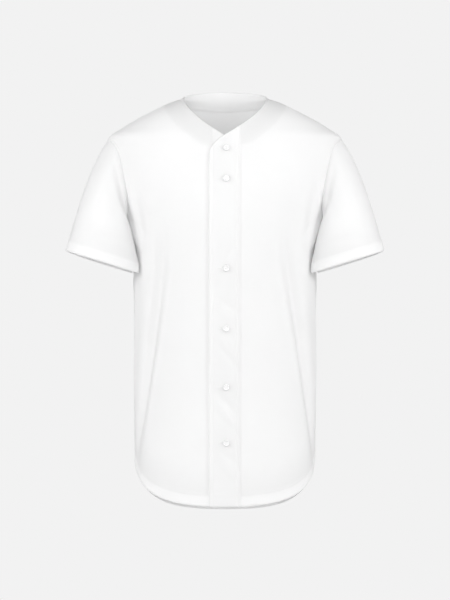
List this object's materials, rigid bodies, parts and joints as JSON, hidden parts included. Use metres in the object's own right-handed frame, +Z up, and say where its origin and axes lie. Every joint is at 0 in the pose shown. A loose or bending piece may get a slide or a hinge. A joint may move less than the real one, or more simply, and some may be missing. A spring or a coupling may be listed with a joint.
{
  "type": "baseball jersey",
  "caption": "Short-sleeved baseball jersey with a shallow V neck, buttoned front and curved hem, filled out and hollow.",
  "frame": {"origin": "middle of the neck opening, level with the neck ends of the shoulder seams, where the wearer's neck and shoulders hold the garment", "axes": "+X towards the wearer's left, +Y out of the back, +Z up; the buttoned front faces -Y"},
  "size_m": [0.603, 0.2697, 0.8101],
  "materials": {
    "jersey_cloth": "fine white polyester knit, matt with a soft sheen",
    "facing_cloth": "the same knit, wrong side out, matt",
    "button": "white moulded plastic, softly glossy"
  },
  "bodies": {
    "root": {"front_left": "jersey_cloth", "front_right": "jersey_cloth", "back": "jersey_cloth", "sleeve_left": "jersey_cloth", "sleeve_right": "jersey_cloth", "placket_upper": "jersey_cloth", "placket_under": "jersey_cloth", "facing_left": "facing_cloth", "facing_right": "facing_cloth", "facing_back": "facing_cloth", "button_1": "button", "button_2": "button", "button_3": "button", "button_4": "button", "button_5": "button", "button_6": "button"}
  },
  "joints": []
}
